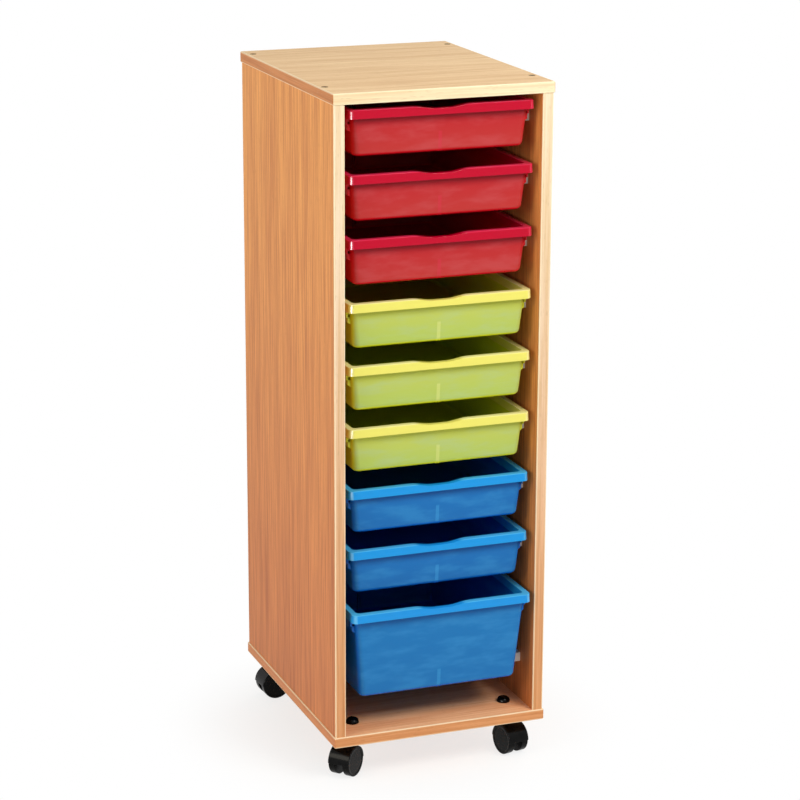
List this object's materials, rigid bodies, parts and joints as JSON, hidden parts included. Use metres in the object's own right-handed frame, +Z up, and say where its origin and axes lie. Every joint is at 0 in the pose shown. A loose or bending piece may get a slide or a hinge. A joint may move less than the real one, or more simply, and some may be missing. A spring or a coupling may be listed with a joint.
{
  "type": "classroom tray storage unit",
  "caption": "Tall single-column tray storage cabinet on swivel castors, with slide-out shallow trays above one deep tray on side runners.",
  "frame": {"origin": "on the floor, under the middle of the whole unit with its deep tray at rest, a little way out", "axes": "+Z up, the open front with the trays faces -Y, X across the width"},
  "size_m": [0.37, 0.478, 1.138],
  "materials": {
    "beech_board": "satin beech laminate on board",
    "beech_edging": "satin plastic edge band, beech coloured",
    "back_board": "thin beech-faced board",
    "dowel_wood": "plain beech",
    "dark_steel": "bronzed screw",
    "zinc_steel": "zinc plated",
    "runner_plastic": "moulded white plastic",
    "tray_red": "moulded polypropylene, slightly translucent",
    "tray_yellow": "moulded polypropylene, slightly translucent",
    "tray_blue": "moulded polypropylene, slightly translucent",
    "castor_black": "moulded black nylon",
    "wheel_black": "moulded black nylon"
  },
  "bodies": {
    "cabinet": {"top_panel": "beech_board", "top_edging": "beech_edging", "base_panel": "beech_board", "base_edging": "beech_edging", "side_panel_left": "beech_board", "side_panel_right": "beech_board", "side_edging_left": "beech_edging", "side_edging_right": "beech_edging", "back_panel": "back_board", "dowels": "dowel_wood", "top_screws": "dark_steel", "base_screws": "dark_steel", "tray_runners_01": "runner_plastic", "tray_runners_02": "runner_plastic", "tray_runners_03": "runner_plastic", "tray_runners_04": "runner_plastic", "tray_runners_05": "runner_plastic", "tray_runners_06": "runner_plastic", "tray_runners_07": "runner_plastic", "tray_runners_08": "runner_plastic", "tray_runners_09": "runner_plastic", "tray_runners_10": "runner_plastic", "runner_screws": "zinc_steel", "castor_caps": "castor_black", "castor_stem_front_left": "zinc_steel", "castor_stem_front_right": "zinc_steel", "castor_stem_rear_left": "zinc_steel", "castor_stem_rear_right": "zinc_steel"},
    "shallow_tray_1_body": {"shallow_tray_1": "tray_red"},
    "shallow_tray_2_body": {"shallow_tray_2": "tray_red"},
    "shallow_tray_3_body": {"shallow_tray_3": "tray_red"},
    "shallow_tray_4_body": {"shallow_tray_4": "tray_yellow"},
    "shallow_tray_5_body": {"shallow_tray_5": "tray_yellow"},
    "shallow_tray_6_body": {"shallow_tray_6": "tray_yellow"},
    "shallow_tray_7_body": {"shallow_tray_7": "tray_blue"},
    "shallow_tray_8_body": {"shallow_tray_8": "tray_blue"},
    "deep_tray_body": {"deep_tray": "tray_blue"},
    "castor_front_left": {"castor_hood_front_left": "castor_black", "castor_axle_front_left": "zinc_steel"},
    "wheel_left_front_left": {"castor_wheel_left_front_left": "wheel_black"},
    "wheel_right_front_left": {"castor_wheel_right_front_left": "wheel_black"},
    "castor_front_right": {"castor_hood_front_right": "castor_black", "castor_axle_front_right": "zinc_steel"},
    "wheel_left_front_right": {"castor_wheel_left_front_right": "wheel_black"},
    "wheel_right_front_right": {"castor_wheel_right_front_right": "wheel_black"},
    "castor_rear_left": {"castor_hood_rear_left": "castor_black", "castor_axle_rear_left": "zinc_steel"},
    "wheel_left_rear_left": {"castor_wheel_left_rear_left": "wheel_black"},
    "wheel_right_rear_left": {"castor_wheel_right_rear_left": "wheel_black"},
    "castor_rear_right": {"castor_hood_rear_right": "castor_black", "castor_axle_rear_right": "zinc_steel"},
    "wheel_left_rear_right": {"castor_wheel_left_rear_right": "wheel_black"},
    "wheel_right_rear_right": {"castor_wheel_right_rear_right": "wheel_black"}
  },
  "joints": [
    {"name": "shallow_tray_1_slide", "type": "slide", "parent": "cabinet", "child": "shallow_tray_1_body", "axis": [0, -1, 0], "range_m": [0, 0.44]},
    {"name": "shallow_tray_2_slide", "type": "slide", "parent": "cabinet", "child": "shallow_tray_2_body", "axis": [0, -1, 0], "range_m": [0, 0.44]},
    {"name": "shallow_tray_3_slide", "type": "slide", "parent": "cabinet", "child": "shallow_tray_3_body", "axis": [0, -1, 0], "range_m": [0, 0.44]},
    {"name": "shallow_tray_4_slide", "type": "slide", "parent": "cabinet", "child": "shallow_tray_4_body", "axis": [0, -1, 0], "range_m": [0, 0.44]},
    {"name": "shallow_tray_5_slide", "type": "slide", "parent": "cabinet", "child": "shallow_tray_5_body", "axis": [0, -1, 0], "range_m": [0, 0.44]},
    {"name": "shallow_tray_6_slide", "type": "slide", "parent": "cabinet", "child": "shallow_tray_6_body", "axis": [0, -1, 0], "range_m": [0, 0.44]},
    {"name": "shallow_tray_7_slide", "type": "slide", "parent": "cabinet", "child": "shallow_tray_7_body", "axis": [0, -1, 0], "range_m": [0, 0.44]},
    {"name": "shallow_tray_8_slide", "type": "slide", "parent": "cabinet", "child": "shallow_tray_8_body", "axis": [0, -1, 0], "range_m": [0, 0.44]},
    {"name": "deep_tray_slide", "type": "slide", "parent": "cabinet", "child": "deep_tray_body", "axis": [0, -1, 0], "range_m": [-0.018, 0.44]},
    {"name": "swivel_front_left", "type": "hinge", "parent": "cabinet", "child": "castor_front_left", "pos_m": [-0.135, -0.175, 0.05], "axis": [0, 0, 1], "continuous": true},
    {"name": "spin_left_front_left", "type": "hinge", "parent": "castor_front_left", "child": "wheel_left_front_left", "pos_m": [-0.1516, -0.18943, 0.025], "axis": [0.6561, -0.7547, 0], "continuous": true},
    {"name": "spin_right_front_left", "type": "hinge", "parent": "castor_front_left", "child": "wheel_right_front_left", "pos_m": [-0.1516, -0.18943, 0.025], "axis": [0.6561, -0.7547, 0], "continuous": true},
    {"name": "swivel_front_right", "type": "hinge", "parent": "cabinet", "child": "castor_front_right", "pos_m": [0.135, -0.175, 0.05], "axis": [0, 0, 1], "continuous": true},
    {"name": "spin_left_front_right", "type": "hinge", "parent": "castor_front_right", "child": "wheel_left_front_right", "pos_m": [0.13957, -0.19652, 0.025], "axis": [0.9781, 0.2079, 0], "continuous": true},
    {"name": "spin_right_front_right", "type": "hinge", "parent": "castor_front_right", "child": "wheel_right_front_right", "pos_m": [0.13957, -0.19652, 0.025], "axis": [0.9781, 0.2079, 0], "continuous": true},
    {"name": "swivel_rear_left", "type": "hinge", "parent": "cabinet", "child": "castor_rear_left", "pos_m": [-0.135, 0.183, 0.05], "axis": [0, 0, 1], "continuous": true},
    {"name": "spin_left_rear_left", "type": "hinge", "parent": "castor_rear_left", "child": "wheel_left_rear_left", "pos_m": [-0.15695, 0.18146, 0.025], "axis": [0.0698, -0.9976, 0], "continuous": true},
    {"name": "spin_right_rear_left", "type": "hinge", "parent": "castor_rear_left", "child": "wheel_right_rear_left", "pos_m": [-0.15695, 0.18146, 0.025], "axis": [0.0698, -0.9976, 0], "continuous": true},
    {"name": "swivel_rear_right", "type": "hinge", "parent": "cabinet", "child": "castor_rear_right", "pos_m": [0.135, 0.183, 0.05], "axis": [0, 0, 1], "continuous": true},
    {"name": "spin_left_rear_right", "type": "hinge", "parent": "castor_rear_right", "child": "wheel_left_rear_right", "pos_m": [0.12748, 0.16233, 0.025], "axis": [0.9397, -0.342, 0], "continuous": true},
    {"name": "spin_right_rear_right", "type": "hinge", "parent": "castor_rear_right", "child": "wheel_right_rear_right", "pos_m": [0.12748, 0.16233, 0.025], "axis": [0.9397, -0.342, 0], "continuous": true}
  ]
}
